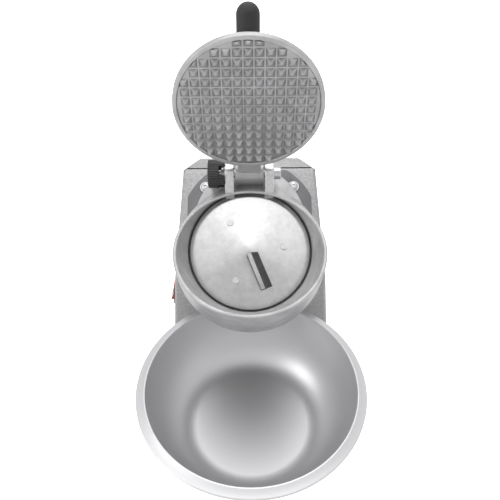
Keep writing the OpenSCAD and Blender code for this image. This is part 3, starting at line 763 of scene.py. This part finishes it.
def ring_run(piece_name, rings):
    """A skin through rings of (middle y, middle z, radius, tilt in radians), in millimetres."""
    clear_selection()
    y, z, radius, tilt = rings[0]
    bpy.ops.mesh.primitive_circle_add(
        vertices=SMOOTH, radius=radius * MM, location=(0, y * MM, z * MM), rotation=(tilt, 0, 0)
    )
    piece = named(piece_name)
    bpy.ops.object.transform_apply()
    bpy.ops.object.mode_set(mode="EDIT")
    bpy.ops.mesh.select_mode(type="EDGE")
    bpy.ops.mesh.select_all(action="SELECT")
    for before, after in zip(rings, rings[1:]):
        bpy.ops.mesh.extrude_edges_move()
        scale = after[2] / before[2]
        middle = (0, before[0] * MM, before[1] * MM)
        if abs(scale - 1) > 1e-9:
            bpy.ops.transform.resize(value=(scale,) * 3, center_override=middle)
        if abs(after[3] - before[3]) > 1e-9:
            # with no window this operator turns the other way
            bpy.ops.transform.rotate(
                value=-(after[3] - before[3]), orient_axis="X", center_override=middle
            )
        bpy.ops.transform.translate(
            value=(0, (after[0] - before[0]) * MM, (after[1] - before[1]) * MM)
        )
    return piece


class SHAVER_OT_hopper(bpy.types.Operator):
    """Casts the hopper: shroud, rim, funnel, drum, neck and hinge ears"""

    bl_idname = "shaver.hopper"
    bl_label = "Hopper"

    def execute(self, context):
        s = sizes()
        lean = -s.mouth_lean
        mouth_r = s.rim - s.rim_width
        axis_z = Vector((0, -math.sin(lean), math.cos(lean)))

        def at_mouth(z, radius):
            middle = MOUTH_OFFSET / MM + axis_z * z
            return middle.y, middle.z, radius, lean

        floor, low, bore_top = DRUM_FLOOR, UNDERSIDE, 48.2
        rings = [
            (0, low, 12, 0), (-6, low, s.shroud - 2.5, 0), (-6, low + 0.8, s.shroud - 0.8, 0),
            (-6, low + 2.5, s.shroud, 0), (-6, 43.5, s.shroud, 0),
            at_mouth(-4, s.rim), at_mouth(-1.3, s.rim), at_mouth(-0.5, s.rim - 0.3),
            at_mouth(-0.1, s.rim - 0.9), at_mouth(0, s.rim - 1.5), at_mouth(0, mouth_r + 1.3),
            at_mouth(-0.2, mouth_r + 0.6), at_mouth(-0.9, mouth_r + 0.1), at_mouth(-1.8, mouth_r),
            (0, bore_top, s.drum + 0.3, 0), (0, bore_top - 0.6, s.drum, 0),
            (0, floor + 2, s.drum, 0), (0, floor + 0.6, s.drum - 0.6, 0),
            (0, floor, s.drum - 2, 0), (0, floor, 12, 0),
        ]
        casting = ring_run("hopper_casting", rings)
        leave_edit()
        pick(casting, lambda at, along: abs(Vector((at.x, at.y)).length - 12) < 0.05
             and min(abs(at.z - low), abs(at.z - floor)) < 0.01
             and abs(along.z) < 0.01 and abs(along.x * at.x + along.y * at.y) < 1, "EDGE")
        bpy.ops.mesh.bridge_edge_loops()
        bpy.ops.mesh.select_all(action="SELECT")
        bpy.ops.mesh.normals_make_consistent(inside=False)
        leave_edit()
        # the snow passage in front of the drum, open below
        passage = rod("passage", s.shroud - 5, low - 2, 62, (0, -6), sides=SMOOTH)
        edit_all(passage)
        bpy.ops.mesh.bisect(plane_co=(0, -30 * MM, 0), plane_no=(0, 1, 0),
                            use_fill=True, clear_outer=True)
        leave_edit()
        cut(passage, rod("core", s.drum + 4.1, 0, 120, sides=SMOOTH))
        knives = []
        seat = s.drum + 2.6
        for turn in (-22, 22):
            for name, corner, opposite in (
                ("knife_seat", (-10.3, -seat - 8, 48.8), (10.3, -seat, 60.2)),
                ("knife_slot", (3, -seat - 1, 49.5), (10, -seat + 7, 59.5)),
            ):
                tool = block(name, corner, opposite)
                knives.append(place(tool, Matrix.Rotation(math.radians(turn), 4, "Z")))
        cut(casting, passage, *knives)
        neck = turned("neck", [
            (0, 34), (s.neck - 2.5, 34), (s.neck - 0.8, 33.4), (s.neck, 31.8), (s.neck, 3.8),
            (s.neck - 0.8, 3), (s.neck - 5.6, 3), (s.neck - 5.6, low), (0, low)])
        place(neck, Matrix.Translation((0, neck_middle() * MM, 0)))
        cut(neck, rod("shaft_way", 12, 0, 60))
        boss = turned("boss", [
            (16, 18), (20, 18), (20, 33), (12, 33), (12, 27), (16, 27), (16, 18)], 64)
        weld(casting, neck, boss)
        smooth(casting, 40)
        place(casting, DECK)
        finish_piece(casting, "root", "cast_aluminium", lacquered_casting(), "hopper", "knife_wall")
        # hinge ears: one rounded eye on each side, running down into the shroud
        ears = None
        hinge_at = DECK.inverted() @ HINGE_AT
        for side in (-1, 1):
            middle = side * (EAR_OUT - EAR_HALF)
            inner, outer = middle - EAR_HALF, middle + EAR_HALF
            eye = rod("hinge_ear", 12, inner, outer, axis="X")
            place(eye, Matrix.Translation(hinge_at))
            foot = block("ear_foot", (inner, 60, low + 0.3), (outer, 94, low + 3.6))
            web = block("ear_web", (inner, mouth_r - 1.2, -10), (outer, mouth_r - 0.2, -1.5))
            edit_all(weld(eye, foot, place(web, mouth_frame())))
            bpy.ops.mesh.convex_hull()
            bpy.ops.mesh.dissolve_limited(angle_limit=math.radians(1))
            leave_edit()
            bore = rod("bore", HINGE_BORE, -60, 60, axis="X")
            place(bore, Matrix.Translation(hinge_at))
            cut(eye, bore)
            soften(eye, 0.9, 3)
            ears = weld(ears, eye) if ears else eye
        ears.name = ears.data.name = "hinge_ears"
        place(ears, DECK)
        finish_piece(ears, "root", "cast_aluminium", machined_aluminium())
        return {"FINISHED"}


class SHAVER_OT_disc(bpy.types.Operator):
    """Turns the spinning disc and mills its ice pusher"""

    bl_idname = "shaver.disc"
    bl_label = "Disc and pusher"

    def execute(self, context):
        s = sizes()
        edge = 44.0  # height of the disc's underside over the deck
        top = edge + 1.5
        dome = [(s.disc - 0.6 - (s.disc - 0.6) * t / 12,
                 top + s.disc_rise * (1 - math.cos(math.pi / 2 * t / 12)) * 0.35
                 + s.disc_rise * 0.65 * t / 12) for t in range(13)]
        disc = turned("shaver_disc", [
            (7.5, edge), (s.disc - 0.5, edge), (s.disc, edge + 0.5), (s.disc, top - 0.5),
            (s.disc - 0.25, top - 0.12)] + dome, 128)
        screws = [(37 * math.cos(math.radians(turn)), 37 * math.sin(math.radians(turn)))
                  for turn in (245, 5, 125)]
        cut(disc, *[rod("counterbore", 4, edge + 3, edge + 20, at, sides=32) for at in screws])
        place(smooth(disc, 30), DECK)
        finish_piece(disc, "rotor", "brushed_stainless", turned_stainless(), "cutter_disc")
        # the pusher: a flat crest beside a flank that falls away, lower at its outer end
        start, length, half, crest, foot = 6, 40, 6.5, 5, 0.6
        tall, outer_drop = 13, 10.4

        def rise(r):
            """Height of the disc's top at a radius."""
            return top + s.disc_rise * (s.disc - r) / (s.disc - 4)

        end = start + length
        fall = rise(start) - rise(end)
        bar = block("pusher_bar", (start, -half, edge + 2), (end, half, rise(start) + tall))
        edit_all(bar)
        bpy.ops.mesh.bisect(plane_co=(0, (crest - half) * MM, 0), plane_no=(0, 1, 0))
        for at, across, drop in (
            (start, half, tall - foot), (end, half, fall + tall - foot),
            (end, crest - half, fall + outer_drop), (end, -half, fall + outer_drop),
        ):
            pick(bar, lambda point, normal: abs(point.x - at) < 0.1 and abs(point.y - across) < 0.1
                 and point.z > rise(start) + tall - 1, "VERT")
            bpy.ops.transform.translate(value=(0, 0, -drop * MM))
        leave_edit()
        soften(bar, 0.5, 3)
        place(bar, DECK @ Matrix.Rotation(math.radians(-90 + 22.6), 4, "Z"))
        # the falling flank is painted dark as painted shade, and the faces turned up get the bright aluminium as a
        # painted highlight
        finish_piece(bar, "rotor", "brushed_stainless", shade_painted_steel(), "ice_pusher")
        bar.data.materials.append(machined_aluminium())
        crest_way = DECK.to_3x3() @ Vector((0, 0, 1))
        for face in bar.data.polygons:
            face.material_index = 1 if face.normal.dot(crest_way) > 0.93 else 0
        return {"FINISHED"}


class SHAVER_OT_lid(bpy.types.Operator):
    """Casts the lid with its arm and barrel, and the studded plate in it"""

    bl_idname = "shaver.lid"
    bl_label = "Lid"

    def execute(self, context):
        s = sizes()
        lip = s.lid - 4.5
        middle = Matrix.Translation((0, -HINGE_OFF * MM, -LID_SINK * MM))
        lid = turned("lid_casting", [
            (0, -5), (lip - 0.4, -5), (lip, -5.4), (lip, -7.3), (lip + 0.6, -8), (s.lid - 1.4, -8),
            (s.lid - 0.5, -7.7), (s.lid, -6.9), (s.lid, -1.5), (s.lid - 0.5, -0.5),
            (s.lid - 1.6, 0), (s.lid - 6, 0), (s.lid - 7, -0.5), (0, -0.5)], 128)
        place(lid, middle)
        smooth(lid, 40)
        # the arm tapers from the hinge towards its outer end
        wide, narrow, arm_end = 13, 9, -HINGE_OFF - 30
        arm = block("arm", (-wide, arm_end, -8.4), (wide, 0, 2.6))
        pick(arm, lambda at, normal: normal.y < -0.9)
        bpy.ops.transform.resize(value=(narrow / wide, 1, 1), center_override=(0, arm_end * MM, 0))
        leave_edit()
        soften(arm, 2.4, 4)
        weld(lid, arm)
        barrel = soften(rod("lid_barrel", 12, -15.5, 15.5, axis="X", sides=64), 0.8, 3)
        # the barrel takes the darker bare casting as painted shade
        finish_piece(place(barrel, lid_frame()), "lid", "cast_aluminium", shaded_bare_casting())
        place(lid, lid_frame())
        finish_piece(lid, "lid", "cast_aluminium", lacquered_casting(), "lid")
        plate_r = lip - 0.05
        plate = turned("stud_plate", [
            (0, -5), (plate_r, -5), (plate_r, -6.2), (lip - 0.4, -6.5), (0, -6.5)])
        place(plate, middle)
        clear_selection()
        count = int(lip / s.stud_pitch) + 2
        spots = [(i * s.stud_pitch, j * s.stud_pitch - 3.2)
                 for i in range(-count, count + 1) for j in range(-count, count + 1)]
        foot_width = 8.6
        height = -LID_SINK - 6.45 - s.stud_height / 2
        studs = None
        for x, y in spots:
            if math.hypot(x, y) < lip:
                bpy.ops.mesh.primitive_cone_add(
                    vertices=4, radius1=foot_width / math.sqrt(2) * MM, radius2=0.35 * MM,
                    depth=s.stud_height * MM, end_fill_type="NGON",
                    location=(x * MM, (-HINGE_OFF - y) * MM, height * MM),
                    rotation=(math.pi, 0, math.pi / 4),
                )
                if not studs:
                    # the first stud makes the object, and the rest are added to it in edit mode
                    studs = named("studs")
                    bpy.ops.object.transform_apply()
                    bpy.ops.object.mode_set(mode="EDIT")
        leave_edit()
        trim = rod("trim", plate_r, -20, 0, sides=SMOOTH)
        place(trim, Matrix.Translation((0, -HINGE_OFF * MM, 0)))
        modify(studs, "BOOLEAN", operation="INTERSECT", object=trim, solver="EXACT")
        bpy.data.objects.remove(trim)
        weld(plate, studs)
        soften(plate, 0.3, 2)
        place(plate, lid_frame())
        finish_piece(plate, "lid", "cast_aluminium", shaded_bare_casting(), "grip_plate")
        return {"FINISHED"}


class SHAVER_OT_handle(bpy.types.Operator):
    """Turns the handle's rubber grip, a little slimmer at its foot"""

    bl_idname = "shaver.handle"
    bl_label = "Handle"

    def execute(self, context):
        s = sizes()
        length, start, r = 76.0, 19.0, s.grip
        cap = length - r
        foot = [(4.05, start), (r - 3, start), (r - 2.4, start + 0.5), (r - 2, start + 3)]
        wall = [(r - 0.9 + 0.9 * k / 8, start + 3 + k * 3) for k in range(1, 9)]
        dome = [(r * math.cos(math.radians(a)), cap + r * math.sin(math.radians(a)))
                for a in range(0, 86, 7)]
        wall = [(radius, height) for radius, height in wall if height < cap]
        grip = turned("handle_rubber", foot + wall + dome + [(0, length)], 64)
        place(smooth(grip, 60), handle_frame())
        finish_piece(grip, "lid", "black_rubber", nitrile_rubber(), "handle_grip")
        return {"FINISHED"}


class SHAVER_OT_hinge(bpy.types.Operator):
    """Makes the hinge's screw, knob and coiled spring"""

    bl_idname = "shaver.hinge"
    bl_label = "Hinge screw and knob"

    def execute(self, context):
        s = sizes()
        gap, thick, skirt = 7.5, 11.0, 6.9
        tip = -EAR_OUT - gap - thick + 3
        screw = turned("hinge_screw", [
            (0, tip), (4, tip), (4, EAR_OUT), (6.2, EAR_OUT), (6.5, EAR_OUT + 0.3),
            (6.5, EAR_OUT + 7.3), (5.9, EAR_OUT + 8), (0, EAR_OUT + 8)], 48, "X")
        cut(screw, rod("socket", 3.4, EAR_OUT + 3.5, EAR_OUT + 12, axis="X", sides=6))
        place(smooth(screw), hinge_frame())
        finish_piece(screw, "root", "bright_steel", zinc_plated_steel(), "hinge_bolt")
        r = s.knob
        knob = turned("hinge_knob_moulding", [
            (4.06, 0), (11, 0), (11, -skirt), (r - 0.6, -skirt), (r, -skirt + 0.6),
            (r, thick - 1.4), (r - 0.4, thick - 0.4), (r - 1.4, thick), (5.5, thick),
            (5, thick - 0.6), (0, thick - 0.6)], 72)
        # every second edge along the knob's side sinks in, which leaves fine flutes
        pick(knob, lambda at, along: Vector((at.x, at.y)).length > r - 2 and abs(along.z) > 0.5
             and round(math.degrees(math.atan2(at.y, at.x)) / 5) % 2 == 1, "EDGE")
        bpy.ops.transform.resize(value=(0.965, 0.965, 1), center_override=(0, 0, 0))
        leave_edit()
        for turn in (-32, 58, 148, 238):
            window = block("window", (7, -6.5, -skirt - 1), (r + 2, 6.5, -1))
            cut(knob, place(window, Matrix.Rotation(math.radians(turn), 4, "Z")))
        outward = Matrix.Rotation(-math.pi / 2, 4, "Y")
        place(smooth(knob, 25),
              hinge_frame() @ Matrix.Translation((-(EAR_OUT + gap) * MM, 0, 0)) @ outward)
        finish_piece(knob, "knob", "black_moulded_plastic", glass_filled_nylon(), "hinge_knob")
        clear_selection()
        bpy.ops.mesh.primitive_circle_add(vertices=12, radius=0.8 * MM, location=(6 * MM, 0, 0),
                                          rotation=(math.pi / 2, 0, 0), fill_type="NGON")
        coil = named("hinge_coil")
        bpy.ops.object.transform_apply()
        modify(coil, "SCREW", axis="Z", angle=2 * math.pi * 2.5, screw_offset=1.6 * MM, steps=90,
               render_steps=90, use_merge_vertices=False)
        smooth(coil, 60)
        place(coil, hinge_frame() @ Matrix.Translation((-(EAR_OUT + 2.1) * MM, 0, 0)) @ outward)
        finish_piece(coil, "root", "bright_steel", zinc_plated_steel(), "hinge_spring")
        return {"FINISHED"}


class SHAVER_OT_bolts(bpy.types.Operator):
    """Makes the four button-head bolts that hold the hopper's plate"""

    bl_idname = "shaver.bolts"
    bl_label = "Plate bolts"

    def execute(self, context):
        seat = 4.2  # height of a bolt's seat over the deck
        across, along = 52.5, 47.2  # from the neck's axis to a bolt
        bolt = turned("plate_bolt", [
            (0, seat - 11), (3, seat - 11), (3, seat), (5.1, seat), (5.3, seat + 0.2),
            (5.2, seat + 0.9), (4.8, seat + 1.8), (4, seat + 2.6), (2.9, seat + 3.2),
            (0, seat + 3.3)], 32)
        cut(bolt, rod("socket", 2.3, seat + 1.3, seat + 9, sides=6))
        smooth(bolt)
        spots = [(x * across, neck_middle() + y * along) for x in (-1, 1) for y in (-1, 1)]
        for number, (x, y) in enumerate(spots):
            copy = bolt.copy()
            copy.data = bolt.data.copy()
            copy.name = copy.data.name = f"plate_bolt_{number + 1}"
            context.scene.collection.objects.link(copy)
            place(copy, DECK @ Matrix.Translation((x * MM, y * MM, 0)))
            finish_piece(copy, "root", "bright_steel", zinc_plated_steel(), "plate_bolts")
        bpy.data.objects.remove(bolt)
        return {"FINISHED"}


class SHAVER_OT_bowl(bpy.types.Operator):
    """Spins the bowl, with its sloping rim and rolled edge"""

    bl_idname = "shaver.bowl"
    bl_label = "Bowl"

    def execute(self, context):
        s = sizes()
        base, wall = 62.0, 1.2  # radius of the flat bottom, and the sheet's thickness
        bead, drop = 1.6, 4.6  # radius of the rolled edge, and how far it lies below the top
        top_r, top = s.bowl - s.bowl_rim, s.bowl_height
        edge = top - drop
        steps = 24

        def curve(skin):
            return [(base + (top_r - base - skin) * math.sin(math.pi / 2 * i / steps),
                     skin + (top - wall - skin) * (1 - math.cos(math.pi / 2 * i / steps)))
                    for i in range(steps + 1)]

        outside = curve(0)[:-1] + [(top_r, top - wall - 2), (top_r + 0.6, top - wall - 0.6)]
        roll = [(s.bowl - bead + bead * math.cos(math.radians(a)),
                 edge - wall / 2 + bead * math.sin(math.radians(a))) for a in range(-150, 91, 20)]
        crest = [(top_r + 1.2, top - 0.45), (top_r + 0.3, top - 0.05), (top_r - 0.5, top),
                 (top_r - 1.0, top - 0.4), (top_r - wall, top - 1.4)]
        inside = curve(wall)[-2::-1] + [(0, wall)]
        bowl = turned("spun_bowl", [(0, 0)] + outside + roll + crest + inside, 160)
        place(smooth(bowl, 50), bowl_frame())
        finish_piece(bowl, "bowl", "spun_stainless", spun_stainless(), "bowl")
        return {"FINISHED"}


class SHAVER_OT_finishes(bpy.types.Operator):
    """Gives every plain part that shows or sits inside its finish"""

    bl_idname = "shaver.finishes"
    bl_label = "Finishes of the plain parts"

    def execute(self, context):
        by_slot = {
            "grey_hammered_paint": hammered_enamel, "dark_grey_paint": satin_enamel,
            "cast_aluminium": shaded_bare_casting, "brushed_stainless": machined_aluminium,
            "spun_stainless": spun_stainless, "bright_steel": zinc_plated_steel,
            "lamination_steel": lamination_steel, "bronze": sintered_bronze,
            "black_moulded_plastic": glass_filled_nylon, "black_rubber": nitrile_rubber,
            "white_plastic_can": ivory_nylon, "red_plastic": red_polycarbonate,
        }
        slots = {part["node"]: part["material_slot"] for part in frame["record"]["subparts"]}
        for name, node in frame["nodes"].items():
            if node.hide_render:
                continue
            finish = by_slot[slots[name]]()
            node.data.materials.clear()
            node.data.materials.append(finish)
        return {"FINISHED"}


class SHAVER_PT_panel(bpy.types.Panel):
    """Lists the ice shaver's sizes, colours and pieces"""

    bl_idname = "SHAVER_PT_panel"
    bl_label = "Ice shaver"
    bl_space_type = "VIEW_3D"
    bl_region_type = "UI"
    bl_category = "Ice shaver"

    def draw(self, context):
        for group in (sizes(), colours()):
            box = self.layout.box()
            for name in group.bl_rna.properties.keys():
                if name not in ("rna_type", "name"):
                    box.prop(group, name)
        for operator in PIECES:
            self.layout.operator(operator.bl_idname)


PIECES = (
    SHAVER_OT_stage, SHAVER_OT_body, SHAVER_OT_soft_copies, SHAVER_OT_hopper, SHAVER_OT_disc,
    SHAVER_OT_lid, SHAVER_OT_handle, SHAVER_OT_hinge, SHAVER_OT_bolts, SHAVER_OT_bowl,
    SHAVER_OT_finishes,
)
CLASSES = (ShaverSizes, ShaverColours) + PIECES + (SHAVER_PT_panel,)


def register():
    for cls in CLASSES:
        bpy.utils.register_class(cls)
    bpy.types.Scene.shaver_sizes = bpy.props.PointerProperty(type=ShaverSizes)
    bpy.types.Scene.shaver_colours = bpy.props.PointerProperty(type=ShaverColours)


def unregister():
    del bpy.types.Scene.shaver_colours
    del bpy.types.Scene.shaver_sizes
    for cls in reversed(CLASSES):
        bpy.utils.unregister_class(cls)


def main():
    register()
    for operator in PIECES:
        group, name = operator.bl_idname.split(".")
        getattr(getattr(bpy.ops, group), name)()
    clear_selection()


if __name__ == "__main__":
    main()
